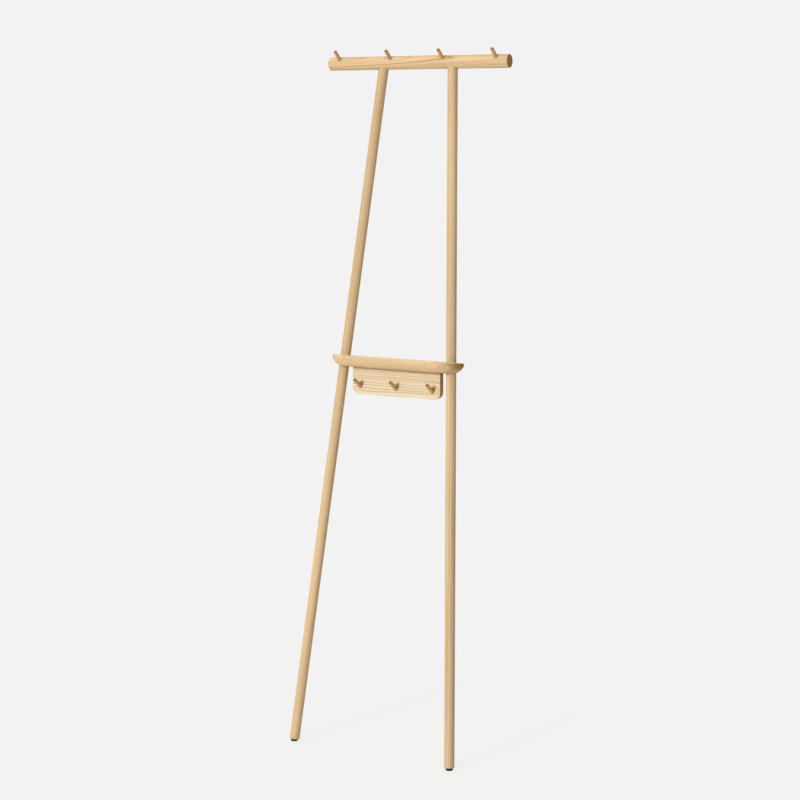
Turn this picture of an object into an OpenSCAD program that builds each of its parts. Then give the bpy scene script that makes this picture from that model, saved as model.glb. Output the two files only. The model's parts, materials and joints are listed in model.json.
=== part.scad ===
// A clothes rack in pale ash that stands on two splayed legs and leans against a wall.
// A round rail with four pegs joins the legs at the top. Part-way down the legs pass
// through a shallow boat-shaped tray, and a board with three pegs hangs under the tray.
// The origin is on the floor, in the middle of the rack's width and depth.
// The wall is towards +Y, the user towards -Y, and the rail runs along X.

/* [Rail] */
// Height of the rail's axis above the floor
rail_height = 1755; // [1500:5:2000]
// Diameter of the rail
rail_d = 34; // [32:1:42]
// Length of the rail
rail_len = 515; // [500:5:640]
// Rounding of the rail's end edges
rail_edge = 1.5; // [0.5:0.5:3]

/* [Legs] */
// Diameter of a leg
leg_d = 26; // [24:0.5:28]
// Distance between the leg axes at the rail's axis
leg_gap = 197; // [185:1:205]
// Lean of the legs back towards the wall, in degrees
lean = 8.3; // [6:0.1:10]
// Splay of each leg out to its side, in degrees
splay = 4.25; // [3.9:0.05:4.5]
// Distance from the rail's axis down to the end of the leg in its socket
leg_seat = 5; // [4:0.5:7]
// Rounding of the leg's lower end edge
leg_edge = 2.5; // [1:0.5:4]

/* [Pegs] */
// Diameter of the dowel that every peg is cut from
peg_d = 9.5; // [8:0.5:11]
// Rounding of a peg's tip
peg_edge = 2; // [1:0.5:3]
// Distance between neighbouring pegs on the rail
rail_peg_pitch = 150; // [145:1:155]
// Rise of the rail pegs above the horizontal, in degrees
rail_peg_rise = 40; // [30:1:60]
// Length of a rail peg that stands out of the rail
rail_peg_out = 29.5; // [20:0.5:45]
// Distance from the rail's axis to the inner end of a rail peg
rail_peg_seat = 3; // [2:0.5:6]
// Distance between neighbouring pegs on the board
board_peg_pitch = 105; // [90:1:112]
// Rise of the board pegs above the horizontal, in degrees
board_peg_rise = 35; // [15:1:45]
// Length of a board peg that stands out of the board
board_peg_out = 36; // [25:0.5:50]
// Length of a board peg inside the board
board_peg_in = 14; // [10:0.5:15]
// Height of the board pegs' mouths above the board's lower edge
board_peg_height = 20; // [14:1:30]

/* [Tray] */
// Height of the tray's rim above the floor, at the leg axes
tray_height = 1008; // [980:1:1040]
// Length of the tray over its rounded ends
tray_len = 368; // [362:1:380]
// Width of the tray over its rim
tray_w = 120; // [112:1:130]
// Thickness of the wood that the tray is milled from
tray_thick = 29; // [28:0.5:32]
// Depth of the hollow in the tray
tray_depth = 15; // [12:0.5:16]
// Width of the tray's rim, which is rounded over in a half circle
rim_w = 9; // [6:0.5:12]
// Radius of the curved underside
hull_r = 33; // [32:0.5:38]
// Radius of the cove between the hollow's floor and the rim
cove_r = 14; // [12:0.5:18]

/* [Hook board] */
// Length of the board
board_len = 255; // [235:1:265]
// Height of the board that shows below the tray's underside, on its front face
board_drop = 69; // [60:1:90]
// Thickness of the board
board_thick = 18; // [18:0.5:21]
// Radius of the board's lower corners
board_corner = 18; // [8:1:25]
// Depth of the groove in the tray's underside, at the board's front face
board_let_in = 3; // [2:0.5:3.5]
// Distance between neighbouring dowels that hold the board in the tray
dowel_pitch = 90; // [60:1:110]
// Diameter of these dowels
dowel_d = 8; // [6:0.5:8]
// Length of a dowel inside the board
dowel_down = 22; // [15:1:28]
// Length of a dowel inside the tray
dowel_up = 5.5; // [4:0.5:6]
// Rounding of a dowel's end edges
dowel_edge = 1; // [0.5:0.5:2]

/* [Feet and bumpers] */
// Diameter of a rubber foot
foot_d = 19; // [16:0.5:21]
// Height of a rubber foot along the leg's axis
foot_h = 5; // [4:0.5:8]
// How much narrower a foot would be at twice its height
foot_taper = 2; // [0.5:0.5:4]
// Diameter of the stem that holds a foot in the leg
foot_stem_d = 8; // [6:0.5:10]
// Length of this stem
foot_stem = 14; // [8:1:20]
// Distance between the two wall bumpers
bumper_gap = 400; // [340:5:420]
// Diameter of a wall bumper
bumper_d = 12; // [8:0.5:14]
// Height of a wall bumper above the back of the rail
bumper_out = 2; // [1:0.25:4]
// Rounding of a bumper's edge
bumper_edge = 1; // [0.5:0.25:2]
// Depth of the flat that a bumper sits on, below the back of the rail
bumper_flat = 1.5; // [1.5:0.25:2.5]
// Diameter of the stem that holds a bumper in the rail
bumper_stem_d = 5; // [4:0.5:6]
// Length of this stem
bumper_stem = 8; // [5:0.5:10]

/* [Fasteners] */
// Diameter of the stud that draws a leg into the rail
stud_d = 6; // [5:0.5:8]
// Length of the stud inside the leg
stud_in_leg = 26; // [18:1:40]
// Length of the stud inside the rail
stud_in_rail = 13; // [9:0.5:14]
// Rounding of the stud's end edges
stud_edge = 0.5; // [0.25:0.25:1]
// Outer diameter of the threaded insert in the rail
insert_d = 10; // [9.5:0.5:12]
// Length of the threaded insert
insert_len = 14; // [11:0.5:15]
// Shank diameter of the screw that holds the tray to a leg
screw_d = 4; // [3.5:0.5:5]
// Head diameter of this screw
screw_head_d = 8; // [7:0.5:9]
// Height of its countersunk head
screw_head = 3; // [2.5:0.5:4]
// Length of this screw over its head
screw_len = 30; // [26:1:32]
// Diameter of the flat at the screw's point
screw_tip_d = 1; // [0.5:0.25:1.5]
// Distance from the leg's surface to the face of the screw's head
screw_reach = 17; // [15:0.5:19]

/* [Clearances] */
// Gap all round a piece that is glued, pressed or screwed into its bore
bore_gap = 0.1; // [0.05:0.05:0.2]
// Gap past the inner end of a peg, stem, dowel or screw
end_gap = 0.3; // [0.2:0.1:1]
// Gap all round a leg where it passes through the tray
tray_gap = 0.2; // [0.1:0.05:0.4]

/* [Hidden] */
$fn = 96;

LEFT = -1;
RIGHT = 1;
through = 1;

ash = "#e6c89e";
ash_rail = "#e8caa0";
ash_tray = "#dfc091";
rubber = "#1d1c1b";
steel = "#b8babd";
brass = "#c8a24d";

// The leg's axis runs along (splay, lean, up), and this is the length of that vector
// for each unit of height
leg_slant = sqrt(1 + pow(tan(lean), 2) + pow(tan(splay), 2));
leg_lean_share = tan(lean) / leg_slant;
leg_axis_len = rail_height * leg_slant;
leg_wood_end = leg_axis_len - foot_h;

// How far the rack reaches from the rail's axis to the user and to the wall
front_reach = (leg_wood_end - leg_edge) * leg_lean_share
    + (leg_d / 2 - leg_edge) * sqrt(1 - pow(leg_lean_share, 2)) + leg_edge;
back_reach = rail_d / 2 + bumper_out;
rail_y = (front_reach - back_reach) / 2;

// Where the leg axes meet the floor, and where they cross the height of the tray's rim
foot_x = leg_gap / 2 + rail_height * tan(splay);
foot_y = rail_y - rail_height * tan(lean);
tray_below_rail = rail_height - tray_height;
tray_y = rail_y - tray_below_rail * tan(lean);
tray_leg_x = leg_gap / 2 + tray_below_rail * tan(splay);

// Section of the tray: the rim is a circle that the curved underside and the cove touch
rim_r = rim_w / 2;
rim_x = tray_w / 2 - rim_r;
hull_z = hull_r - tray_thick;
hull_x = rim_x - sqrt(pow(hull_r - rim_r, 2) - pow(hull_z + rim_r, 2));
cove_z = cove_r - tray_depth;
cove_x = rim_x - sqrt(pow(cove_r + rim_r, 2) - pow(cove_z + rim_r, 2));
tray_end_x = tray_len / 2 - tray_w / 2;

// The board hangs plumb, centred on the leg axes at the height of the rim. The tray's
// underside slopes down towards the wall, so it is highest at the board's front face.
board_y = tray_y;
board_front_y = board_y - board_thick / 2;
underside_front_z = tray_height - (tray_thick - board_thick / 2 * sin(lean)) / cos(lean);
board_top_z = underside_front_z + board_let_in;
board_low_z = underside_front_z - board_drop;

// A screw's height is half-way between the hollow's floor and the underside
screw_z = -(tray_thick + tray_depth) / 2;
screw_x = tray_leg_x - screw_z * tan(splay) * cos(lean);

// A round rod along +Z, with rounded edges at its low and high ends
module rod(d, len, low = 0, high = 0) {
    r = d / 2;
    rotate_extrude() {
        translate([0, low]) square([r, len - low - high]);
        if (low > 0) {
            square([r - low, low]);
            translate([r - low, low]) intersection() {
                circle(low);
                translate([0, -low]) square(low);
            }
        }
        if (high > 0) {
            translate([0, len - high]) square([r - high, high]);
            translate([r - high, len - high]) intersection() {
                circle(high);
                square(high);
            }
        }
    }
}

// The leg's own frame: its origin is on the rail's axis and +Z runs up along the leg
module along_leg(side) {
    translate([side * leg_gap / 2, rail_y, rail_height])
        rotate([-asin(leg_lean_share), -side * splay, 0]) children();
}

// The tray's own frame: square to the lean of the legs, with z = 0 at the rim
module on_tray() {
    translate([0, tray_y, tray_height]) rotate([-lean, 0, 0]) children();
}

// A rail peg's own frame: +Z runs out along the peg from the rail's axis
module along_rail_peg(i) {
    translate([(i - 2.5) * rail_peg_pitch, rail_y, rail_height])
        rotate([90 - rail_peg_rise, 0, 0]) children();
}

// A board peg's own frame: +Z runs out along the peg from the board's front face
module along_board_peg(i) {
    translate([(i - 2) * board_peg_pitch, board_front_y, board_low_z + board_peg_height])
        rotate([90 - board_peg_rise, 0, 0]) children();
}

// A tray screw's own frame: +Z runs from the leg's axis out through the tray's back
module along_screw(side) {
    on_tray() translate([side * screw_x, 0, screw_z]) rotate([-90, 0, 0]) children();
}

// A wall bumper's own frame: +Z runs from the flat on the rail towards the wall
module on_bumper(side) {
    translate([side * bumper_gap / 2, rail_y + rail_d / 2 - bumper_flat, rail_height])
        rotate([-90, 0, 0]) children();
}

module top_rail() {
    color(ash_rail) difference() {
        translate([-rail_len / 2, rail_y, rail_height]) rotate([0, 90, 0])
            rod(rail_d, rail_len, rail_edge, rail_edge);
        for (i = [1:4]) along_rail_peg(i) translate([0, 0, rail_peg_seat - end_gap])
            cylinder(d = peg_d + 2 * bore_gap, h = rail_d);
        for (side = [LEFT, RIGHT]) {
            along_leg(side) {
                translate([0, 0, -leg_seat - rail_d])
                    cylinder(d = leg_d + 2 * bore_gap, h = rail_d);
                translate([0, 0, -leg_seat - through])
                    cylinder(d = insert_d + 2 * bore_gap, h = insert_len + end_gap + through);
            }
            on_bumper(side) {
                cylinder(d = bumper_d + 4 * bore_gap, h = rail_d);
                translate([0, 0, -bumper_stem - end_gap])
                    cylinder(d = bumper_stem_d + 2 * bore_gap, h = rail_d);
            }
        }
    }
}

module leg(side) {
    color(ash) difference() {
        along_leg(side) translate([0, 0, -leg_wood_end])
            rod(leg_d, leg_wood_end - leg_seat, low = leg_edge);
        along_leg(side) {
            translate([0, 0, -leg_seat - stud_in_leg - end_gap])
                cylinder(d = stud_d + 2 * bore_gap, h = stud_in_leg + end_gap + through);
            translate([0, 0, -leg_wood_end - through])
                cylinder(d = foot_stem_d + 2 * bore_gap, h = foot_stem + end_gap + through);
        }
        along_screw(side) translate([0, 0, leg_d / 2 + screw_reach - screw_len - end_gap])
            cylinder(d = screw_d + 2 * bore_gap, h = screw_len);
    }
}

module rail_peg(i) {
    color(ash) along_rail_peg(i) translate([0, 0, rail_peg_seat])
        rod(peg_d, rail_d / 2 + rail_peg_out - rail_peg_seat, high = peg_edge);
}

// Half of the tray's section, from its middle line out to the rim
module tray_half_section() {
    reach = [hull_x, hull_z] + [rim_x - hull_x, -rim_r - hull_z] * 2;
    difference() {
        union() {
            translate([0, -tray_thick]) square([hull_x, tray_thick]);
            intersection() {
                translate([hull_x, hull_z]) circle(hull_r);
                polygon([[0, 0], [rim_x, 0], [rim_x, -rim_r], reach,
                         [reach[0], -2 * tray_thick], [0, -2 * tray_thick]]);
            }
            translate([rim_x, -rim_r]) circle(rim_r);
        }
        difference() {
            union() {
                translate([-through, -tray_depth]) square([cove_x + through, tray_depth + through]);
                intersection() {
                    translate([cove_x, cove_z]) circle(cove_r);
                    translate([0, -tray_depth]) square([tray_w, tray_depth + through]);
                }
                polygon([[cove_x, through], [cove_x, cove_z], [rim_x, -rim_r], [rim_x, through]]);
            }
            translate([rim_x, -rim_r]) circle(rim_r);
        }
    }
}

module tray_blank() {
    translate([-tray_end_x, 0, 0]) rotate([90, 0, 90]) linear_extrude(2 * tray_end_x) {
        tray_half_section();
        mirror([1, 0]) tray_half_section();
    }
    for (turn = [0, 180]) rotate([0, 0, turn]) translate([tray_end_x, 0, 0])
        rotate([0, 0, -90]) rotate_extrude(angle = 180) tray_half_section();
}

module tray() {
    color(ash_tray) difference() {
        on_tray() tray_blank();
        for (side = [LEFT, RIGHT]) {
            along_leg(side) translate([0, 0, -leg_axis_len])
                cylinder(d = leg_d + 2 * tray_gap, h = leg_axis_len);
            along_screw(side) {
                cylinder(d = screw_d + 2 * bore_gap, h = tray_w);
                translate([0, 0, leg_d / 2 + screw_reach - screw_head]) screw_seat();
            }
        }
        translate([-board_len / 2 - bore_gap, board_front_y - bore_gap, board_low_z])
            cube([board_len + 2 * bore_gap, board_thick + 2 * bore_gap, board_top_z - board_low_z]);
        for (i = [-1:1]) translate([i * dowel_pitch, board_y, board_low_z])
            cylinder(d = dowel_d + 2 * bore_gap, h = board_top_z - board_low_z + dowel_up + end_gap);
    }
}

// The countersink and the counterbore above it that a tray screw's head sits in
module screw_seat() {
    cylinder(d1 = screw_d + 2 * bore_gap, d2 = screw_head_d + 2 * bore_gap, h = screw_head);
    translate([0, 0, screw_head]) cylinder(d = screw_head_d + 2 * bore_gap, h = tray_w);
}

module hook_board() {
    low_w = board_len - 2 * board_corner;
    high = board_top_z - board_low_z;
    color(ash) difference() {
        translate([0, board_y + board_thick / 2, board_low_z]) rotate([90, 0, 0])
            linear_extrude(board_thick) {
                translate([-low_w / 2, 0]) square([low_w, high]);
                translate([-board_len / 2, board_corner]) square([board_len, high - board_corner]);
                for (side = [LEFT, RIGHT]) translate([side * low_w / 2, board_corner])
                    circle(board_corner);
            }
        for (i = [1:3]) along_board_peg(i) translate([0, 0, -board_peg_in - end_gap])
            cylinder(d = peg_d + 2 * bore_gap, h = board_thick * 2);
        for (i = [-1:1]) translate([i * dowel_pitch, board_y, board_top_z - dowel_down - end_gap])
            cylinder(d = dowel_d + 2 * bore_gap, h = dowel_down + end_gap + through);
    }
}

module board_peg(i) {
    color(ash) along_board_peg(i) translate([0, 0, -board_peg_in])
        rod(peg_d, board_peg_in + board_peg_out, high = peg_edge);
}

module board_dowels() {
    color(ash) for (i = [-1:1]) translate([i * dowel_pitch, board_y, board_top_z - dowel_down])
        rod(dowel_d, dowel_down + dowel_up, dowel_edge, dowel_edge);
}

// The foot is square to the leg at the top and cut level where it stands on the floor
module foot_pad(side) {
    color(rubber) {
        difference() {
            along_leg(side) translate([0, 0, -leg_wood_end - 2 * foot_h])
                cylinder(d1 = foot_d - foot_taper, d2 = foot_d, h = 2 * foot_h);
            translate([side * foot_x - foot_d, foot_y - foot_d, -2 * foot_h])
                cube([2 * foot_d, 2 * foot_d, 2 * foot_h]);
        }
        along_leg(side) translate([0, 0, -leg_wood_end - foot_h / 2])
            cylinder(d = foot_stem_d, h = foot_h / 2 + foot_stem);
    }
}

module wall_bumper(side) {
    color(rubber) on_bumper(side) {
        rod(bumper_d, bumper_flat + bumper_out, high = bumper_edge);
        translate([0, 0, -bumper_stem]) cylinder(d = bumper_stem_d, h = bumper_stem + bumper_flat);
    }
}

module leg_stud(side) {
    color(steel) along_leg(side) translate([0, 0, -leg_seat - stud_in_leg])
        rod(stud_d, stud_in_leg + stud_in_rail, stud_edge, stud_edge);
}

module rail_insert(side) {
    color(brass) along_leg(side) translate([0, 0, -leg_seat]) difference() {
        cylinder(d = insert_d, h = insert_len);
        translate([0, 0, -through])
            cylinder(d = stud_d + 2 * bore_gap, h = insert_len + 2 * through);
    }
}

module tray_screw(side) {
    color(steel) along_screw(side) translate([0, 0, leg_d / 2 + screw_reach - screw_len])
        rotate_extrude() polygon([[0, 0], [screw_tip_d / 2, 0], [screw_d / 2, screw_d],
                                  [screw_d / 2, screw_len - screw_head],
                                  [screw_head_d / 2, screw_len], [0, screw_len]]);
}

top_rail();
leg(LEFT);  // left_leg
leg(RIGHT);  // right_leg
rail_peg(1);  // rail_peg_1
rail_peg(2);  // rail_peg_2
rail_peg(3);  // rail_peg_3
rail_peg(4);  // rail_peg_4
tray();
hook_board();
board_peg(1);  // board_peg_1
board_peg(2);  // board_peg_2
board_peg(3);  // board_peg_3
board_dowels();
foot_pad(LEFT);  // left_foot_pad
foot_pad(RIGHT);  // right_foot_pad
wall_bumper(LEFT);  // left_wall_bumper
wall_bumper(RIGHT);  // right_wall_bumper
leg_stud(LEFT);  // left_leg_stud
leg_stud(RIGHT);  // right_leg_stud
rail_insert(LEFT);  // left_rail_insert
rail_insert(RIGHT);  // right_rail_insert
tray_screw(LEFT);  // left_tray_screw
tray_screw(RIGHT);  // right_tray_screw
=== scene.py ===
# %% [markdown]
# A clothes rack in pale ash, dressed in Blender.
#
# The real object is a rack that leans against a wall: two round legs, a round rail with four
# pegs, a boat-shaped tray that the legs pass through, and a board with three pegs under it.
# Almost all of it is one material, so the wood decides whether the picture is believed.
# The construction comes in finished as a frame of named nodes. This script gives each node its
# finish, and makes again the few pieces whose surface needs more than the construction holds.

import json
from math import asin, atan2, cos, degrees, pi, radians, sin, sqrt

import bmesh
import bpy
from mathutils import Matrix, Vector


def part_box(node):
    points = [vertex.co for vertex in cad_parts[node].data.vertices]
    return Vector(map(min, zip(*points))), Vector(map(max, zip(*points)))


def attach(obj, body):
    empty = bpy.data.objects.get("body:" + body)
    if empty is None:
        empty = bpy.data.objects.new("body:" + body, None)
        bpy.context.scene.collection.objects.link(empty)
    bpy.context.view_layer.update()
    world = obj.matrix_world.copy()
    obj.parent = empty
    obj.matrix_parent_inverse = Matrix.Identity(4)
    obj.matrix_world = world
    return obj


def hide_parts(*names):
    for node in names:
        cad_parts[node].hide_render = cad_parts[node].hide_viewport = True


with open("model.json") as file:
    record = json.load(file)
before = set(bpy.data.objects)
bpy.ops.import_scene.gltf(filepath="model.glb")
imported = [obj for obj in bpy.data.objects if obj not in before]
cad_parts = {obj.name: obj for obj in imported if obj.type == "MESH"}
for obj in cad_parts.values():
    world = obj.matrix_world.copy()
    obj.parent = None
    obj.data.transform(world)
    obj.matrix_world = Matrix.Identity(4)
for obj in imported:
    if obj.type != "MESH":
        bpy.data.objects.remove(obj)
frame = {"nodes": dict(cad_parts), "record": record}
nodes = frame["nodes"]
mounts = {m["name"]: m for m in frame["record"]["mounts"]}
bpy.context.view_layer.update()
MM = 0.001


def shown(vector):
    """A vector as it is printed."""
    return [round(v, 4) for v in vector]


# %% [markdown]
# The camera. The picture was taken from the right of the rack and a little below the height of
# its rail, with a long lens, so upright lines stay almost parallel. A long lens from far away
# could be faked by an orthographic camera, but this one looks down a little, and upright lines
# close up slightly towards the floor. So a real lens is used, and its place was found by fitting
# the legs, the rail, the tray and the board to the photograph.

# %% Camera
CAMERA_PLACE = (2.2232, -4.0042, 1.6026)
CAMERA_TURN = radians(28.87)
CAMERA_DOWN = radians(8.68)
CAMERA_LENS, SENSOR = 81.61, 36.0
CAMERA_REACH = 60.0


def add_object(name, data):
    """Puts a mesh, a lamp or a camera into the scene."""
    made = bpy.data.objects.new(name, data)
    bpy.context.scene.collection.objects.link(made)
    return made


camera_data = bpy.data.cameras.new("camera")
camera_data.sensor_width = SENSOR
camera_data.lens = CAMERA_LENS
camera_data.clip_end = CAMERA_REACH
camera = add_object("camera", camera_data)
camera.location = CAMERA_PLACE
camera.rotation_euler = (pi / 2 - CAMERA_DOWN, 0, CAMERA_TURN)
bpy.context.scene.camera = camera
bpy.context.scene.view_settings.view_transform = "Standard"
print("camera at", shown(camera.location))

# %% [markdown]
# Writing node trees by hand soon hides the idea behind the wiring. Small helpers keep each
# line about one step: join links a socket or, where it is given a plain value, sets it, node
# adds a node with its inputs, calc does arithmetic, vector_calc does it on vectors, and ramp
# and blend turn a value into a mask or a colour. A node group gets its sockets from a list of
# names and usual values.

# %% Helpers for node trees
def join(tree, value, socket):
    """Links value to the socket, or sets it there if it is a plain number, colour or vector."""
    if isinstance(value, bpy.types.NodeSocket):
        tree.links.new(value, socket)
    else:
        socket.default_value = value


def node(tree, kind, inputs=None, **settings):
    """Adds a node, sets its properties, and joins its inputs by their names."""
    made = tree.nodes.new(kind)
    for name, value in settings.items():
        setattr(made, name, value)
    for name, value in (inputs or {}).items():
        join(tree, value, made.inputs[name])
    return made


def calc(tree, operation, *terms, clamp=False):
    """One Math node. The terms are numbers or sockets."""
    made = node(tree, "ShaderNodeMath", operation=operation, use_clamp=clamp)
    for term, socket in zip(terms, made.inputs):
        join(tree, term, socket)
    return made.outputs[0]


def vector_calc(tree, operation, *terms):
    """One Vector Math node on vectors, which puts out a number for DOT_PRODUCT."""
    made = node(tree, "ShaderNodeVectorMath", operation=operation)
    for term, socket in zip(terms, made.inputs):
        join(tree, term, socket)
    return made.outputs["Value" if operation == "DOT_PRODUCT" else "Vector"]


def point(tree, x, y, z=0.0):
    """A vector from three numbers or sockets."""
    return node(tree, "ShaderNodeCombineXYZ", {"X": x, "Y": y, "Z": z}).outputs[0]


# %% Helpers for masks, colours and groups
def ramp(tree, value, low, high, to_low=0.0, to_high=1.0):
    """Maps low..high smoothly to to_low..to_high, and holds the ends."""
    made = node(tree, "ShaderNodeMapRange", interpolation_type="SMOOTHSTEP",
                inputs={"Value": value, "From Min": low, "From Max": high,
                        "To Min": to_low, "To Max": to_high})
    return made.outputs["Result"]


def blend(tree, factor, first, second, blend_type="MIX"):
    """Mixes two colours."""
    made = node(tree, "ShaderNodeMix", data_type="RGBA", blend_type=blend_type)
    join(tree, factor, made.inputs[0])
    join(tree, first, made.inputs[6])
    join(tree, second, made.inputs[7])
    return made.outputs[2]


SOCKET_FOR = {float: "NodeSocketFloat", int: "NodeSocketInt", tuple: "NodeSocketVector",
              type(None): "NodeSocketMaterial"}


def new_group(name, kind, inputs, outputs):
    """A node group with named sockets. An input's usual value also tells what kind it is."""
    group = bpy.data.node_groups.new(name, kind)
    for label, usual in inputs.items():
        item = group.interface.new_socket(label, in_out="INPUT", socket_type=SOCKET_FOR[type(usual)])
        if usual is not None:
            item.default_value = usual
    gives = "NodeSocketGeometry" if kind == "GeometryNodeTree" else "NodeSocketFloat"
    for label in outputs:
        group.interface.new_socket(label, in_out="OUTPUT", socket_type=gives)
    return group, group.nodes.new("NodeGroupInput"), group.nodes.new("NodeGroupOutput")


def built(group):
    """Says how large a finished group is, and hands it on."""
    print("node group", group.name, "has", len(group.nodes), "nodes")
    return group


def srgb(r, g, b):
    """A colour as a paint program shows it, 0 to 255, turned into the linear values of a shader."""
    def linear(v):
        v = v / 255
        return v / 12.92 if v <= 0.04045 else ((v + 0.055) / 1.055) ** 2.4
    return (linear(r), linear(g), linear(b), 1.0)


# %% [markdown]
# The light. In the photograph the fronts and the left sides are bright, the right sides are
# brown, and the undersides are hardly darker than the fronts. The board's pegs cast short
# shadows up to the right, and the tray casts hardly any on the board. So the main light stands
# in front, a little to the left and only a little above. It could be an area lamp, but a sun
# lamp with a wide angle is as soft and has the same strength from the rail to the feet. The
# room around it is painted into the world: bright overhead and behind, dimmer in front on the
# left, and dim on the right. The pale floor throws that light back up. The main light is a
# trace cooler than the room, which leaves the fronts neutral and the shaded sides a warm brown.
# The camera doesn't see that room. It sees plain pale grey, and a helper keeps the two apart.

# %% The main light
KEY_FROM = Vector((-0.24, -1.0, 0.27))
KEY_STRENGTH = 1.92
KEY_WIDTH = radians(14)
KEY_TINT = (0.94, 0.97, 1.0)

key_data = bpy.data.lights.new("front_light", "SUN")
key_data.energy = KEY_STRENGTH
key_data.angle = KEY_WIDTH
key_data.color = KEY_TINT
key = add_object("front_light", key_data)
key.rotation_euler = KEY_FROM.to_track_quat("Z", "Y").to_euler()
print("front light from", shown(KEY_FROM.normalized()))

# %% The room around the rack, as light and as background
ROOM_LEFT, ROOM_BACK, ROOM_RIGHT, ROOM_TOP = 0.40, 1.0, 0.10, 0.92
FRONT_TO_BACK, LEFT_TO_RIGHT, LOW_TO_TOP = (0.1, 0.9), (-0.75, 0.75), (0.25, 0.85)
ROOM_TINT = (1.0, 0.93, 0.82, 1.0)
BACKGROUND = srgb(242, 242, 242)


def lit_or_seen(tree, lit, seen):
    """Shows the light one shader, and another to the camera, in mirrors and through glass."""
    path = node(tree, "ShaderNodeLightPath").outputs
    direct = calc(tree, "MAXIMUM", path["Is Camera Ray"], path["Is Glossy Ray"])
    direct = calc(tree, "MAXIMUM", direct, path["Is Transmission Ray"])
    choice = node(tree, "ShaderNodeMixShader")
    for value, socket in zip((direct, lit.outputs[0], seen.outputs[0]), choice.inputs):
        join(tree, value, socket)
    return choice.outputs[0]


world = bpy.data.worlds.new("room")
bpy.context.scene.world = world
world.use_nodes = True
tree = world.node_tree
tree.nodes.clear()
direction = node(tree, "ShaderNodeTexCoord").outputs["Generated"]
x, y, z = node(tree, "ShaderNodeSeparateXYZ", {"Vector": direction}).outputs
from_left = ramp(tree, y, *FRONT_TO_BACK, ROOM_LEFT, ROOM_BACK)
from_side = ramp(tree, x, *LEFT_TO_RIGHT, from_left, ROOM_RIGHT)
overhead = ramp(tree, z, *LOW_TO_TOP)
strength = calc(tree, "MULTIPLY", from_side, calc(tree, "SUBTRACT", 1.0, overhead))
strength = calc(tree, "MULTIPLY_ADD", overhead, ROOM_TOP, strength)
room = node(tree, "ShaderNodeBackground", {"Color": ROOM_TINT, "Strength": strength})
plain = node(tree, "ShaderNodeBackground", {"Color": BACKGROUND, "Strength": 1.0})
node(tree, "ShaderNodeOutputWorld", {"Surface": lit_or_seen(tree, room, plain)})
print("the room lights the rack in the tint", shown(ROOM_TINT[:3]))

# %% [markdown]
# The floor. It has to catch the soft shadow of the feet and yet vanish into the background.
# It is a plain matt disc. To the light it is a pale floor that throws most of it back up. To
# the camera it is darker paint with a steady glow added, and the two together give exactly the
# background's grey, so its far edge doesn't show and a shadow on it stays faint. That paint is
# a trace blue, because the light that falls on it is a trace warm.

# %% Floor
FLOOR_RADIUS, FLOOR_SIDES = 40.0, 96
FLOOR_COLOUR = (0.72, 0.72, 0.72, 1.0)
FLOOR_SEEN = (0.140, 0.147, 0.158, 1.0)
FLOOR_LIFT = 0.766

floor_mesh = bpy.data.meshes.new("floor")
shape = bmesh.new()
bmesh.ops.create_circle(shape, cap_ends=True, segments=FLOOR_SIDES, radius=FLOOR_RADIUS)
shape.to_mesh(floor_mesh)
shape.free()
floor = add_object("floor", floor_mesh)

matt = bpy.data.materials.new("floor_paint")
matt.use_nodes = True
tree = matt.node_tree
tree.nodes.clear()
pale = node(tree, "ShaderNodeBsdfDiffuse", {"Color": FLOOR_COLOUR})
dark = node(tree, "ShaderNodeBsdfDiffuse", {"Color": FLOOR_SEEN})
glow = node(tree, "ShaderNodeEmission", {"Color": (1, 1, 1, 1), "Strength": FLOOR_LIFT})
to_eye = node(tree, "ShaderNodeAddShader")
join(tree, dark.outputs[0], to_eye.inputs[0])
join(tree, glow.outputs[0], to_eye.inputs[1])
node(tree, "ShaderNodeOutputMaterial", {"Surface": lit_or_seen(tree, pale, to_eye)})
floor_mesh.materials.append(matt)
print("floor, radius", FLOOR_RADIUS, "m")

# %% [markdown]
# Where things are. Every new piece has to sit exactly where the construction has its node, so
# the few places that are needed are read from the frame: the rail and the board from their
# boxes, the legs from the mounts on the floor and the threaded inserts that lie on their axes.

# %% Places read from the frame
def centre_of(name):
    """The middle of a node's box."""
    low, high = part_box(name)
    return (low + high) / 2


def leg_line(side):
    """A point at the foot of a leg's axis, and the unit vector that runs up along it."""
    foot = Vector(mounts["floor_" + side]["pos_m"])
    return foot, (centre_of(side + "_rail_insert") - foot).normalized()


rail_centre, board_centre = centre_of("top_rail"), centre_of("hook_board")
board_low, board_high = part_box("hook_board")
legs = {side: leg_line(side) for side in ("left", "right")}
for side, (foot, up) in legs.items():
    print(side, "leg from", shown(foot), "along", shown(up))

# %% [markdown]
# Ash up close. A trunk grows one ring a year. In ash each ring begins with a band of open
# pores, which looks like a brown line of fine dashes, and ends in smooth pale wood. A picture
# of boards could be wrapped round the pieces, but it would stretch on the round rods and break
# at every edge. So the wood is made solid: the group below knows, for any point inside a
# trunk, how far it is from the heart and which part of a ring it is in, and each piece is cut
# out of that trunk. The rings then run right over the tray's rim and show as arcs on the ends.
# The rest is noise that is stretched along the grain. For each kind, the values below say how
# often it changes in a metre along the grain and across it, where it starts, so that one kind
# doesn't follow another, and how much fine detail it has.

# %% Node group: ash grain
SWAY = (3.0, 9.0, 0.0, 2.0)
PORES = (90.0, 1500.0, 7.0, 1.0)
FIBRES = (9.0, 620.0, 5.0, 2.0)
STREAKS = (2.5, 90.0, 3.0, 2.0)
PATCHES = (2.4, 24.0, 1.0, 2.0)
YEAR_BROWN = ((0.0, 0.28), (0.06, 1.0), (0.22, 0.72), (0.45, 0.16), (0.85, 0.10), (1.0, 0.28))
YEAR_CHANGE, YEAR_LUCK = 0.45, 1.8
FAINTEST_YEAR, YEAR_RANGE = 0.5, 0.7
OPEN_PORE = (0.56, 0.68)
SUMMER_PORES, SPRING_PORES = 0.10, 0.9
RING_DEPTH = 0.25


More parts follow.
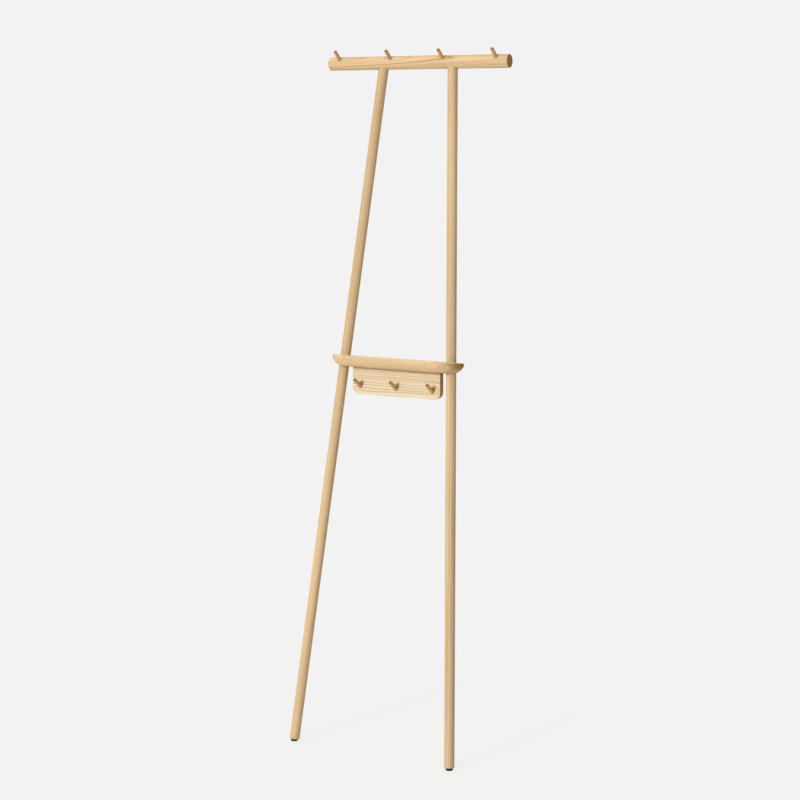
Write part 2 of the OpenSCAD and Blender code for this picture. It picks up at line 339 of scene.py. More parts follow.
def make_ash_grain():
    """Where a point lies in the rings of an ash trunk. X runs along the trunk, in metres."""
    group, given, result = new_group(
        "ash grain", "ShaderNodeTree",
        {"Vector": (0.0, 0.0, 0.0), "Ring Width": 0.004, "Heart Y": 0.04, "Heart Z": -0.05,
         "Drift": 0.02, "Wander": 0.006, "Seed": 0.0},
        ["Rings", "Pores", "Fibres", "Streaks", "Patches", "Height"])
    take = given.outputs
    along, across, up = node(group, "ShaderNodeSeparateXYZ", {"Vector": take["Vector"]}).outputs

    def noise(along_scale, across_scale, shift, detail):
        """A noise with its own scale along and across the grain."""
        x = calc(group, "MULTIPLY_ADD", along, along_scale, calc(group, "ADD", take["Seed"], shift))
        y = calc(group, "MULTIPLY", across, across_scale)
        z = calc(group, "MULTIPLY", up, across_scale)
        return node(group, "ShaderNodeTexNoise", {"Vector": point(group, x, y, z), "Scale": 1.0,
                                                  "Detail": detail}).outputs

    # The trunk isn't a straight cylinder: its heart wanders, and it drifts across the piece
    sway = node(group, "ShaderNodeSeparateColor", {"Color": noise(*SWAY)["Color"]})
    sway_y = calc(group, "MULTIPLY", calc(group, "SUBTRACT", sway.outputs[0], 0.5), take["Wander"])
    sway_z = calc(group, "MULTIPLY", calc(group, "SUBTRACT", sway.outputs[1], 0.5), take["Wander"])
    y = calc(group, "ADD", calc(group, "SUBTRACT", across, take["Heart Y"]), sway_y)
    z = calc(group, "ADD", calc(group, "SUBTRACT", up, take["Heart Z"]), sway_z)
    z = calc(group, "MULTIPLY_ADD", along, take["Drift"], z)
    from_heart = calc(group, "SQRT", calc(group, "MULTIPLY_ADD", y, y, calc(group, "MULTIPLY", z, z)))

    # Good and bad years are wide and narrow rings
    years = calc(group, "DIVIDE", from_heart, take["Ring Width"])
    luck = node(group, "ShaderNodeTexNoise", noise_dimensions="1D",
                inputs={"W": calc(group, "ADD", years, take["Seed"]), "Scale": YEAR_CHANGE,
                        "Detail": 1.0})
    years = calc(group, "MULTIPLY_ADD", luck.outputs[0], YEAR_LUCK, years)
    season = calc(group, "FRACT", years)
    year = calc(group, "FLOOR", years)

    # Spring: a brown band that starts sharply and fades. Summer: pale wood
    spring = node(group, "ShaderNodeValToRGB", {"Fac": season})
    stops = spring.color_ramp.elements
    stops.remove(stops[1])
    for number, (place, brown) in enumerate(YEAR_BROWN):
        stop = stops.new(place) if number else stops[0]
        stop.position, stop.color = place, (brown,) * 3 + (1,)
    vigour = node(group, "ShaderNodeTexWhiteNoise", {"W": year}, noise_dimensions="1D")
    vigour = calc(group, "MULTIPLY_ADD", vigour.outputs["Value"], YEAR_RANGE, FAINTEST_YEAR)
    rings = calc(group, "MULTIPLY", spring.outputs[0], vigour)

    # Pores are short dashes along the grain, most of them in the spring band
    pores = ramp(group, noise(*PORES)[0], *OPEN_PORE)
    share = calc(group, "MULTIPLY_ADD", rings, SPRING_PORES, SUMMER_PORES)
    pores = calc(group, "MULTIPLY", pores, share, clamp=True)
    height = calc(group, "MULTIPLY_ADD", pores, -1.0, calc(group, "MULTIPLY", rings, -RING_DEPTH))

    # Fibres are fine lines of tone, streaks are slow changes across a hand's width, and patches
    # are the darker and paler lengths of one rod
    for label, value in (("Rings", rings), ("Pores", pores), ("Fibres", noise(*FIBRES)[0]),
                         ("Streaks", noise(*STREAKS)[0]), ("Patches", noise(*PATCHES)[0]),
                         ("Height", height)):
        join(group, value, result.inputs[label])
    return built(group)


ash_grain = make_ash_grain()

# %% [markdown]
# Sawn ends drink more oil than long grain, so the ends of the rail and the tips of the pegs
# are darker and browner. The second group finds them without any marking by hand: a surface
# that faces along the trunk is an end. The third finds edges and paints them paler: partly as
# the polish of fingers and cloth over the years, partly as a painted highlight where an edge
# catches the light. It compares the surface with one whose corners are rounded a little. The
# fourth paints shade into joints and corners, as a darker brown: it asks how much of the open
# space right above a point is taken up by something else.

# %% Node groups: sawn ends, worn and highlit edges, and painted shade in joints
END_FACING = (0.55, 0.97)
EDGE_BEND = (0.01, 0.16)
JOINT_OPENNESS = (0.92, 0.45)


def make_sawn_end():
    """1 where the surface faces along the grain, 0 where it runs along it."""
    group, given, result = new_group(
        "sawn end", "ShaderNodeTree",
        {"Normal": (0.0, 0.0, 0.0), "Grain Direction": (1.0, 0.0, 0.0)}, ["Mask"])
    take = given.outputs
    facing = vector_calc(group, "DOT_PRODUCT", take["Normal"], take["Grain Direction"])
    join(group, ramp(group, calc(group, "ABSOLUTE", facing), *END_FACING), result.inputs["Mask"])
    return built(group)


def make_worn_and_highlit_edge():
    """1 on edges that are sharper than the radius, 0 on flat and gently curved surfaces. It marks
    edges painted paler, as wear and as a painted highlight.
    """
    group, given, result = new_group("worn and highlit edge", "ShaderNodeTree", {"Radius": 0.0012}, ["Mask"])
    rounded = node(group, "ShaderNodeBevel", {"Radius": given.outputs["Radius"]}, samples=4)
    surface = node(group, "ShaderNodeNewGeometry")
    same = vector_calc(group, "DOT_PRODUCT", rounded.outputs[0], surface.outputs["Normal"])
    join(group, ramp(group, calc(group, "SUBTRACT", 1.0, same), *EDGE_BEND), result.inputs["Mask"])
    return built(group)


def make_joint_shade():
    """Where shade is painted: 1 deep in a joint or a corner, 0 on open surfaces. Reach is how far out
    it is felt.
    """
    group, given, result = new_group("joint shade", "ShaderNodeTree",
                                     {"Reach": 0.009, "Strength": 1.0}, ["Mask"])
    near = node(group, "ShaderNodeAmbientOcclusion", {"Distance": given.outputs["Reach"]}, samples=8)
    mask = ramp(group, near.outputs["AO"], *JOINT_OPENNESS)
    join(group, calc(group, "MULTIPLY", mask, given.outputs["Strength"]), result.inputs["Mask"])
    return built(group)


sawn_end = make_sawn_end()
worn_and_highlit_edge = make_worn_and_highlit_edge()
joint_shade = make_joint_shade()

# %% [markdown]
# Each wooden piece gets its own material from the same four groups, because each is cut from
# its own place in a trunk: what changes is where the piece's middle is, which way its grain
# runs, and how far off the heart lies. A Mapping node of the texture kind does the turning: it
# takes the point from the rack's frame into the frame of the trunk. Oiled ash has hardly any
# gloss, and its open pores can be felt, so they go into a fine bump and into the roughness.

# %% Material: ash
ASH_LIGHT = srgb(233, 203, 159)
ASH_SPRING = srgb(200, 158, 106)
ASH_PORE = srgb(150, 106, 62)
ASH_END = srgb(166, 126, 79)
# The pale of edges, partly wear and partly a painted highlight
ASH_WORN_AND_HIGHLIT = srgb(240, 214, 174)
# The brown of painted shade in joints and corners
ASH_JOINT_SHADE = srgb(168, 116, 58)
END_SHARE, WORN_AND_HIGHLIT_SHARE = 0.92, 0.30
STREAK_TONES, FIBRE_TONES = (0.95, 1.04), (0.94, 1.05)
MOST_NOISE, PATCH_NOISE = (0.3, 0.7), (0.35, 0.65)
OILED_ROUGHNESS, ROUGHER_PORES, ROUGHER_ENDS, SMOOTHER_EDGES = 0.55, 0.25, 0.20, 0.10
OILED_IOR, OILED_GLOSS = 1.45, 0.08
PORE_BUMP, PORE_DEPTH = 0.35, 0.25 * MM


def new_material(name):
    """A material, its node tree and the surface in it."""
    material = bpy.data.materials.new(name)
    material.use_nodes = True
    return material, material.node_tree, material.node_tree.nodes["Principled BSDF"]


def ash(name, centre, ring, heart, grain=(1, 0, 0), drift=0.02, wander=6.0, seed=0.0, light=ASH_LIGHT,
        sawn=ASH_END, rings=0.7, pores=0.8, joints=0.8, patches=0.02, fade=0.0):
    """Oiled ash, cut from a trunk.

    centre is a point of the piece and grain the direction of its fibres. ring, heart and wander
    are in mm. rings, pores and joints say how dark the rings, the pores and the painted shade in
    joints and corners are, patches how much the tone changes along the piece by chance, and fade
    how much lighter it grows in a metre.
    """
    material, tree, surface = new_material(name)
    turn = Vector(grain).to_track_quat("X", "Z").to_euler()
    here = node(tree, "ShaderNodeTexCoord")
    trunk = node(tree, "ShaderNodeMapping", vector_type="TEXTURE",
                 inputs={"Vector": here.outputs["Object"], "Location": centre, "Rotation": turn})
    wood = node(tree, "ShaderNodeGroup", node_tree=ash_grain, inputs={
        "Vector": trunk.outputs[0], "Ring Width": ring * MM, "Heart Y": heart[0] * MM,
        "Heart Z": heart[1] * MM, "Drift": drift, "Wander": wander * MM, "Seed": seed}).outputs
    end = node(tree, "ShaderNodeGroup", node_tree=sawn_end, inputs={
        "Normal": here.outputs["Normal"],
        "Grain Direction": Vector(grain).normalized()}).outputs["Mask"]
    edge = node(tree, "ShaderNodeGroup", node_tree=worn_and_highlit_edge).outputs["Mask"]
    joint = node(tree, "ShaderNodeGroup", {"Strength": joints}, node_tree=joint_shade)

    colour = light
    # Edges are painted paler, partly as wear and partly as a painted highlight
    for mask, share, stain in ((wood["Rings"], rings, ASH_SPRING), (wood["Pores"], pores, ASH_PORE),
                               (end, END_SHARE, sawn), (edge, WORN_AND_HIGHLIT_SHARE, ASH_WORN_AND_HIGHLIT)):
        colour = blend(tree, calc(tree, "MULTIPLY", mask, share), colour, stain)
    # Painted shade: joints and corners are darkened to a brown
    colour = blend(tree, joint.outputs["Mask"], colour, ASH_JOINT_SHADE)
    along = node(tree, "ShaderNodeSeparateXYZ", {"Vector": trunk.outputs[0]}).outputs["X"]
    shade = calc(tree, "MULTIPLY_ADD", along, fade, 1.0)
    for noise, span, tones in ((wood["Streaks"], MOST_NOISE, STREAK_TONES),
                               (wood["Fibres"], MOST_NOISE, FIBRE_TONES),
                               (wood["Patches"], PATCH_NOISE, (1 - patches, 1 + patches))):
        shade = calc(tree, "MULTIPLY", shade, ramp(tree, noise, *span, *tones))
    colour = blend(tree, 1.0, colour, point(tree, shade, shade, shade), "MULTIPLY")
    join(tree, colour, surface.inputs["Base Color"])

    rough = calc(tree, "MULTIPLY_ADD", wood["Pores"], ROUGHER_PORES, OILED_ROUGHNESS)
    rough = calc(tree, "MULTIPLY_ADD", end, ROUGHER_ENDS, rough)
    rough = calc(tree, "MULTIPLY_ADD", edge, -SMOOTHER_EDGES, rough, clamp=True)
    join(tree, rough, surface.inputs["Roughness"])
    surface.inputs["IOR"].default_value = OILED_IOR
    surface.inputs["Specular IOR Level"].default_value = OILED_GLOSS
    bump = node(tree, "ShaderNodeBump", {"Height": wood["Height"], "Strength": PORE_BUMP,
                                         "Distance": PORE_DEPTH})
    join(tree, bump.outputs[0], surface.inputs["Normal"])
    return material


# %% Helpers for giving a finish
def paint(piece, material):
    """Gives a piece one material all over."""
    piece.data.materials.clear()
    piece.data.materials.append(material)
    piece.data.polygons.foreach_set("material_index", [0] * len(piece.data.polygons))


def dress(name, material):
    """Gives a node of the frame its finish, and leaves its shape alone."""
    paint(nodes[name], material)
    print(f"{name} is dressed in {material.name}")


# %% [markdown]
# The rail and the legs are plain turned rods, and the construction has them exactly: their
# sockets, their small end rounding, the flats for the bumpers. Nothing is gained by modelling
# them again, so they only get their wood. The rail was cut from a plain-sawn plank, which shows
# as long lines that climb slowly to the right. The legs are straighter and quieter. A long rod
# never lies quite level in its trunk, so one end comes nearer to the brown heartwood: the left
# leg darkens slowly towards its top, and the right one towards its foot.

# %% Rail and legs
LEG_MIDDLE = 900 * MM

dress("top_rail", ash("ash_rail", rail_centre, ring=3.6, heart=(30, -34), drift=-0.055, wander=5,
                      seed=19.4, light=srgb(231, 202, 162), rings=0.85, joints=0.4, patches=0.03))
for side, seed, tone, fade in (("left", 162.9, srgb(225, 196, 156), -0.05),
                               ("right", 266.9, srgb(219, 196, 158), 0.07)):
    foot, up = legs[side]
    dress(side + "_leg", ash("ash_leg_" + side, foot + up * LEG_MIDDLE, grain=up, ring=4.0,
                             heart=(26, 30), drift=0.006, wander=4, seed=seed, light=tone,
                             rings=0.75, pores=0.5, patches=0.06, fade=fade))

# %% [markdown]
# The tray, the screws and the pegs are made again. They are turned on a lathe or milled round a
# path, so their shapes follow a rule: a section goes round an axis, or round a short straight
# line and its two ends, which is called the spine here. Geometry Nodes can say such a rule once
# and keep the sizes as named inputs. Screw and Curve to Mesh do the same for simple bodies, but
# both are a little off where a straight run meets a bend. So the rule is written out: a grid
# has a column for each step round the spine and a row for each point of the section, and every
# grid point is moved to its place.

# %% Helpers for a section
SAME_PLACE = 0.001 * MM


def by_index(tree, values, data_type):
    """Gives each point of a line its own value, by its number."""
    made = node(tree, "GeometryNodeIndexSwitch", data_type=data_type)
    while len(made.index_switch_items) < len(values):
        made.index_switch_items.new()
    join(tree, node(tree, "GeometryNodeInputIndex").outputs[0], made.inputs["Index"])
    for number, value in enumerate(values):
        join(tree, value, made.inputs[number + 1])
    return made.outputs[0]


def merged(tree, geometry):
    """Makes one point of points that lie on each other."""
    return node(tree, "GeometryNodeMergeByDistance",
                {"Geometry": geometry, "Distance": SAME_PLACE}).outputs[0]


def section(tree, corners, radii, steps):
    """A line through the corners, each rounded by its own radius. X is out, Y is up."""
    line = node(tree, "GeometryNodeMeshLine", {"Count": len(corners)})
    placed = node(tree, "GeometryNodeSetPosition",
                  {"Geometry": line.outputs[0], "Position": by_index(tree, corners, "VECTOR")})
    curve = node(tree, "GeometryNodeMeshToCurve", {"Mesh": placed.outputs[0]})
    rounded = node(tree, "GeometryNodeFilletCurve", mode="POLY",
                   inputs={"Curve": curve.outputs[0], "Radius": by_index(tree, radii, "FLOAT"),
                           "Count": steps})
    edges = node(tree, "GeometryNodeCurveToMesh", {"Curve": rounded.outputs[0]})
    single = merged(tree, edges.outputs[0])
    return node(tree, "GeometryNodeMeshToCurve", {"Mesh": single}).outputs[0]


# %% Helper that carries a section round a spine
def carry_round(tree, outline, reach, steps):
    """Carries an outline round a spine that reaches both ways along X. Steps are for a half turn."""
    rows = node(tree, "GeometryNodeAttributeDomainSize", {"Geometry": outline}, component="CURVE")
    rows = rows.outputs["Point Count"]
    lap = calc(tree, "MULTIPLY_ADD", steps, 2, 2)
    sheet = node(tree, "GeometryNodeMeshGrid",
                 {"Vertices X": calc(tree, "ADD", lap, 1), "Vertices Y": rows})
    index = node(tree, "GeometryNodeInputIndex").outputs[0]
    column = calc(tree, "FLOOR", calc(tree, "DIVIDE", calc(tree, "ADD", index, 0.5), rows))
    row = calc(tree, "SUBTRACT", index, calc(tree, "MULTIPLY", column, rows))
    spot = node(tree, "GeometryNodeSampleIndex", {"Geometry": outline, "Index": row},
                data_type="FLOAT_VECTOR", domain="POINT")
    join(tree, node(tree, "GeometryNodeInputPosition").outputs[0], spot.inputs["Value"])
    out, up, _ = node(tree, "ShaderNodeSeparateXYZ", {"Vector": spot.outputs[0]}).outputs

    # The first half of the columns goes round the right end of the spine, the rest round the left
    around = calc(tree, "MODULO", column, lap)
    left = calc(tree, "GREATER_THAN", around, calc(tree, "ADD", steps, 0.5))
    step = calc(tree, "SUBTRACT", around, calc(tree, "MULTIPLY", left, calc(tree, "ADD", steps, 1)))
    turn = calc(tree, "MULTIPLY", calc(tree, "DIVIDE", step, steps), pi)
    turn = calc(tree, "ADD", turn, calc(tree, "MULTIPLY_ADD", left, pi, -pi / 2))
    end = calc(tree, "MULTIPLY", reach, calc(tree, "MULTIPLY_ADD", left, -2, 1))
    place = point(tree, calc(tree, "MULTIPLY_ADD", calc(tree, "COSINE", turn), out, end),
                  calc(tree, "MULTIPLY", calc(tree, "SINE", turn), out), up)
    bent = node(tree, "GeometryNodeSetPosition", {"Geometry": sheet.outputs[0], "Position": place})
    closed = merged(tree, bent.outputs[0])
    return node(tree, "GeometryNodeSetShadeSmooth", {"Geometry": closed}).outputs[0]


# %% Helpers for a whole tree
def end_tree(tree, geometry, material, result):
    """Ends a tree as the export wants it: its copies made real, and the material set."""
    whole = node(tree, "GeometryNodeRealizeInstances", {"Geometry": geometry})
    finished = node(tree, "GeometryNodeSetMaterial",
                    {"Geometry": whole.outputs[0], "Material": material})
    join(tree, finished.outputs[0], result.inputs["Mesh"])


def make_carried_body(name, corners, rounding, arc_steps, half_spine, steps):
    """A tree for a body whose section goes round a spine.

    corners has each corner's name and place, rounding the name and size of a corner's radius.
    """
    group, given, result = new_group(
        name, "GeometryNodeTree",
        {**corners, **dict(rounding.values()), "Half Spine": half_spine, "Steps": steps,
         "Material": None}, ["Mesh"])
    take = given.outputs
    radii = [take[rounding[label][0]] if label in rounding else 0.0 for label in corners]
    outline = section(group, [take[label] for label in corners], radii, arc_steps)
    body = carry_round(group, outline, take["Half Spine"], take["Steps"])
    end_tree(group, body, take["Material"], result)
    return built(group)


# %% Helpers that run a tree
def settle(piece):
    """Turns a piece with live modifiers into a plain mesh."""
    evaluated = piece.evaluated_get(bpy.context.evaluated_depsgraph_get())
    mesh = bpy.data.meshes.new_from_object(evaluated)
    piece.modifiers.clear()
    piece.data = mesh


def grow(name, group, sizes, place=None):
    """Runs a geometry node tree once, and keeps what it makes as a plain mesh."""
    piece = add_object(name, bpy.data.meshes.new(name))
    shape = piece.modifiers.new("shape", "NODES")
    shape.node_group = group
    sockets = {item.name: item.identifier for item in group.interface.items_tree
               if item.item_type == "SOCKET" and item.in_out == "INPUT"}
    for label, value in sizes.items():
        shape[sockets[label]] = value
    settle(piece)
    if place is not None:
        piece.data.transform(place)
    return piece


# %% [markdown]
# Shaping goes on by hand after the rule: holes are drilled, grooves are cut, and edges are left
# crisp where a tool left them crisp. A bore is cut with a Boolean, which wants a closed body on
# both sides. After the cuts the mesh is shaded smooth, and only edges with a real bend in them
# are marked sharp.

# %% Helpers for cutting
def solid_between(name, start, end, radius, sides=64):
    """A plain round bar, which is used as a drill."""
    along = Vector(end) - Vector(start)
    shape = bmesh.new()
    turn = along.to_track_quat("Z", "Y").to_matrix().to_4x4()
    middle = Matrix.Translation((Vector(start) + Vector(end)) / 2)
    bmesh.ops.create_cone(shape, cap_ends=True, segments=sides, radius1=radius, radius2=radius,
                          depth=along.length, matrix=middle @ turn)
    return piece_from(name, shape)


def block(name, low, high):
    """A plain block between two corners, which is used as a cutter."""
    low, high = Vector(low), Vector(high)
    shape = bmesh.new()
    bmesh.ops.create_cube(shape, size=1.0)
    bmesh.ops.scale(shape, vec=high - low, verts=shape.verts)
    bmesh.ops.translate(shape, vec=(low + high) / 2, verts=shape.verts)
    return piece_from(name, shape)


def piece_from(name, shape):
    """Puts a bmesh into the scene as an object at the origin."""
    mesh = bpy.data.meshes.new(name)
    shape.to_mesh(mesh)
    shape.free()
    return add_object(name, mesh)


def cut(piece, tools):
    """Takes the tools' shapes out of a piece, and clears the tools away."""
    for tool in tools:
        bite = piece.modifiers.new("cut", "BOOLEAN")
        bite.operation = "DIFFERENCE"
        bite.solver = "EXACT"
        bite.object = tool
    settle(piece)
    for tool in tools:
        bpy.data.objects.remove(tool)


# %% Helper that finishes a piece
SHARP_BEND = radians(35)


def finish_piece(piece, material, slot, *replaced):
    """Shades a piece, gives it its material, and sets it in the frame in place of its nodes."""
    paint(piece, material)
    piece.data.shade_smooth()
    piece.data.set_sharp_from_angle(angle=SHARP_BEND)
    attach(piece, "root")
    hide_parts(*replaced)
    print(piece.name, "has", len(piece.data.polygons), "faces and replaces", ", ".join(replaced))


# %% [markdown]
# The tray is the piece that takes the most skill. It is milled from one plank 29 mm thick: a
# hollow with a cove, a rim that is rounded over in a half circle, and an underside like a
# boat's. Subdivision modelling would get the feel but not the true circles. Here the section is
# drawn as a few straight lines between corners, and each corner is rounded by its own cutter:
# the hull's radius, the rim's radius twice, and the cove's. A corner lies where the tangents of
# two neighbouring circles cross a level line, which is all the trigonometry there is.

# %% The section of the tray
TRAY_RIM_Z = 1008 * MM
TRAY_LENGTH, TRAY_WIDTH, TRAY_THICKNESS = 368 * MM, 120 * MM, 29 * MM
TRAY_DEPTH = 15 * MM
HULL_RADIUS, RIM_RADIUS, COVE_RADIUS = 33 * MM, 4.5 * MM, 14 * MM

rim_centre = Vector((TRAY_WIDTH / 2 - RIM_RADIUS, -RIM_RADIUS))


def centre_beside_rim(radius, gap, level):
    """The centre of a circle that touches the rim's circle and the given level."""
    height = level + radius
    return Vector((rim_centre.x - sqrt(gap ** 2 - (height - rim_centre.y) ** 2), height))


def corner_at(centre, radius, level):
    """Where the common tangent of that circle and the rim's crosses the given level."""
    towards_rim = (rim_centre - centre).normalized()
    touch = centre + towards_rim * radius
    slope = -towards_rim.y / towards_rim.x
    return (touch.x + (level - touch.y) * slope, level, 0.0)


hull_centre = centre_beside_rim(HULL_RADIUS, HULL_RADIUS - RIM_RADIUS, -TRAY_THICKNESS)
cove_centre = centre_beside_rim(COVE_RADIUS, COVE_RADIUS + RIM_RADIUS, -TRAY_DEPTH)
tray_corners = {
    "Keel": (0.0, -TRAY_THICKNESS, 0.0),
    "Hull Corner": corner_at(hull_centre, HULL_RADIUS, -TRAY_THICKNESS),
    "Outer Rim Corner": corner_at(hull_centre, HULL_RADIUS, 0.0),
    "Inner Rim Corner": corner_at(cove_centre, COVE_RADIUS, 0.0),
    "Cove Corner": corner_at(cove_centre, COVE_RADIUS, -TRAY_DEPTH),
    "Floor": (0.0, -TRAY_DEPTH, 0.0),
}
for label, (x, z, _) in tray_corners.items():
    print(f"{label}: {x / MM:.2f} mm out, {z / MM:.2f} mm up")

# %% [markdown]
# The rule of the tray's body: its section goes round a straight spine and its two ends. The
# construction's bores are then drilled again: the two slanting holes that the legs fill, the
# groove and the dowel holes for the board, and a countersunk hole behind each leg for a screw.

# %% Geometry nodes: the tray's body
tray_rounding = {
    "Hull Corner": ("Hull Radius", HULL_RADIUS),
    "Outer Rim Corner": ("Rim Radius", RIM_RADIUS),
    "Inner Rim Corner": ("Rim Radius", RIM_RADIUS),
    "Cove Corner": ("Cove Radius", COVE_RADIUS),
}
milled_tray = make_carried_body("milled tray", tray_corners, tray_rounding, arc_steps=12,
                                half_spine=(TRAY_LENGTH - TRAY_WIDTH) / 2, steps=48)

# %% Tray
LEG_RADIUS = 13 * MM
LEG_DRILL_REACH = 60 * MM
ROOM_ROUND_LEG = 0.2 * MM
ROOM_ROUND_PEG = 0.1 * MM

leg_foot, leg_up = legs["right"]
lean = atan2(leg_up.y, leg_up.z)
tray_y = leg_foot.y + TRAY_RIM_Z * leg_up.y / leg_up.z
tray_place = Matrix.Translation((0, tray_y, TRAY_RIM_Z)) @ Matrix.Rotation(-lean, 4, "X")
tray_wood = ash("ash_tray", tray_place.translation, ring=3.4, heart=(8, -60), drift=0.015, wander=8,
                seed=41.7, light=srgb(237, 209, 165))
tray = grow("milled_tray", milled_tray, {"Material": tray_wood}, tray_place)

drills = []
for side, (foot, up) in legs.items():
    middle = foot + up * (TRAY_RIM_Z / up.z)
    drills.append(solid_between("leg_bore", middle - up * LEG_DRILL_REACH,
                                middle + up * LEG_DRILL_REACH, LEG_RADIUS + ROOM_ROUND_LEG))
room = Vector((ROOM_ROUND_PEG,) * 3)
drills.append(block("board_groove", board_low - room, board_high + room * Vector((1, 1, 0))))
print(f"tray leans {degrees(lean):.2f} degrees, rim at", shown(tray_place.translation))

# %% [markdown]
# The screws that hold the tray to the legs are driven in from behind, and each head lies in a
# countersunk seat at the bottom of a short bore. A screw is turned too: its section runs from
# the point along the shank and the cone to the flat of the head. The same tree, with other
# corners, makes the cutter for its seat. The cross in the head is cut by two small blades. The
# thread is inside the wood, where nobody sees it.

# %% Geometry nodes: a turned body
turned_body = make_carried_body(
    "turned body", {f"Corner {number}": (0.0, 0.0, 0.0) for number in range(1, 7)},
    {"Corner 5": ("Edge Rounding", 0.0)}, arc_steps=4, half_spine=0.0, steps=24)


def turned(name, corners, rounding, material, place):
    """Grows a turned body from its six (out, up) corners, the fifth of them rounded."""
    sizes = {f"Corner {number}": (out, up, 0.0) for number, (out, up) in enumerate(corners, 1)}
    return grow(name, turned_body, {**sizes, "Edge Rounding": rounding, "Material": material}, place)


# %% [markdown]
# Two finishes are left beside the wood: rubber on the feet and the wall bumpers, and metal on
# the studs, the inserts and the screws. Both are even by nature, and what keeps them from
# looking like plastic is a little unevenness: rubber picks up dust, metal is touched and
# tarnishes in clouds. One group gives that unevenness to all of them.

# %% Node group and materials: rubber, zinc and brass
def make_unevenness():
    """Slow clouds and fine specks, both from 0 to 1."""
    group, given, result = new_group(
        "unevenness", "ShaderNodeTree",
        {"Vector": (0.0, 0.0, 0.0), "Cloud Scale": 90.0, "Speck Scale": 1400.0},
        ["Clouds", "Specks"])
    take = given.outputs
    for label, scale, detail, low, high in (("Clouds", take["Cloud Scale"], 3.0, 0.32, 0.68),
                                            ("Specks", take["Speck Scale"], 1.0, 0.40, 0.72)):
        noise = node(group, "ShaderNodeTexNoise",
                     {"Vector": take["Vector"], "Scale": scale, "Detail": detail})
        join(group, ramp(group, noise.outputs[0], low, high), result.inputs[label])
    return built(group)


unevenness = make_unevenness()
ROUGHER_CLOUDS, PLAIN_GLOSS, SPECK_BUMP = 0.16, 0.25, 0.3


def plain_finish(name, colour, soiled, roughness, metallic, relief):
    """Rubber or metal: one colour, a second one where it is soiled, and a fine relief."""
    material, tree, surface = new_material(name)
    here = node(tree, "ShaderNodeTexCoord").outputs["Object"]
    clouds, specks = node(tree, "ShaderNodeGroup", {"Vector": here}, node_tree=unevenness).outputs
    soil = calc(tree, "MULTIPLY", clouds, specks)
    join(tree, blend(tree, soil, colour, soiled), surface.inputs["Base Color"])
    rough = calc(tree, "MULTIPLY_ADD", clouds, ROUGHER_CLOUDS, roughness)
    join(tree, rough, surface.inputs["Roughness"])
    surface.inputs["Metallic"].default_value = metallic
    surface.inputs["Specular IOR Level"].default_value = PLAIN_GLOSS
    bump = node(tree, "ShaderNodeBump", {"Height": specks, "Strength": SPECK_BUMP, "Distance": relief})
    join(tree, bump.outputs[0], surface.inputs["Normal"])
    return material


rubber = plain_finish("rubber", srgb(25, 21, 18), srgb(84, 72, 58),
                      roughness=0.62, metallic=0.0, relief=0.10 * MM)
zinc = plain_finish("zinc_steel", srgb(196, 198, 200), srgb(150, 150, 148),
                    roughness=0.28, metallic=1.0, relief=0.02 * MM)
brass = plain_finish("brass", srgb(214, 180, 104), srgb(150, 112, 60),
                     roughness=0.26, metallic=1.0, relief=0.02 * MM)
for side in ("left", "right"):
    dress(side + "_foot_pad", rubber)
    dress(side + "_wall_bumper", rubber)
    dress(side + "_leg_stud", zinc)
    dress(side + "_rail_insert", brass)

# %% [markdown]
# The screws' places and lengths are measured on the construction's own screws, so they can't
# drift away from them. Both seats join the tray's other drills and are cut with them in one go.
# The two screws become one mesh, because they never move apart.

# %% Helper that measures a round node
def round_node(name, axis):
    """The start, end and diameter of a round node whose axis runs along the given vector."""
    axis = Vector(axis).normalized()
    side = axis.orthogonal().normalized()
    spans = []
    for way in (axis, side, axis.cross(side)):
        reach = [corner.co.dot(way) for corner in nodes[name].data.vertices]
        spans.append((min(reach), max(reach), way))
    (start, end, _), *cross = spans
    middle = sum(((low + high) / 2 * way for low, high, way in cross), Vector())
    return middle + axis * start, middle + axis * end, cross[0][1] - cross[0][0]


# %% Tray screws, and the seats that they need
SHANK, HEAD, CONE = 2 * MM, 4 * MM, 3 * MM
POINT, POINT_LENGTH = 0.5 * MM, 4 * MM
HEAD_ROUNDING = 0.25 * MM
RECESS_LENGTH, RECESS_WIDTH, RECESS_DEPTH = 4.6 * MM, 0.9 * MM, 1.7 * MM
SEAT_ROOM = 0.1 * MM
WAY_OUT = 40 * MM

screws = []
for side in ("left", "right"):
    start, end, _ = round_node(side + "_tray_screw", (0, cos(lean), -sin(lean)))
    length = (end - start).length
    place = Matrix.Translation(start) @ (end - start).to_track_quat("Z", "X").to_matrix().to_4x4()
    screw = turned("screw", [(0, 0), (POINT, 0), (SHANK, POINT_LENGTH), (SHANK, length - CONE),
                             (HEAD, length), (0, length)], HEAD_ROUNDING, zinc, None)
    reach, thin = RECESS_LENGTH / 2, RECESS_WIDTH / 2
    cut(screw, [block("blade", (-x, -y, length - RECESS_DEPTH), (x, y, length + CONE))
                for x, y in ((reach, thin), (thin, reach))])
    screw.data.transform(place)
    screws.append(screw)
    bore, wide = SHANK + SEAT_ROOM, HEAD + SEAT_ROOM
    seat = [(0, 0), (bore, 0), (bore, length - CONE), (wide, length), (wide, length + WAY_OUT),
            (0, length + WAY_OUT)]
    drills.append(turned("screw_seat", seat, 0.0, None, place))

both = bmesh.new()
for screw in screws:
    both.from_mesh(screw.data)
    bpy.data.objects.remove(screw)
tray_screws = piece_from("tray_screws", both)
finish_piece(tray_screws, zinc, "zinc_steel", "left_tray_screw", "right_tray_screw")

# %% [markdown]
# Three dowels hold the board in the tray. One helper drills the holes in both pieces, each a
# little deeper than the dowel, as a maker drills it, so that the glue has somewhere to go.

# %% Tray, drilled and finished
DOWEL_PITCH = 90 * MM
DOWEL_END_ROOM = 0.3 * MM

dowel_low, dowel_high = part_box("board_dowels")
dowel_bore = (dowel_high.y - dowel_low.y) / 2 + ROOM_ROUND_PEG


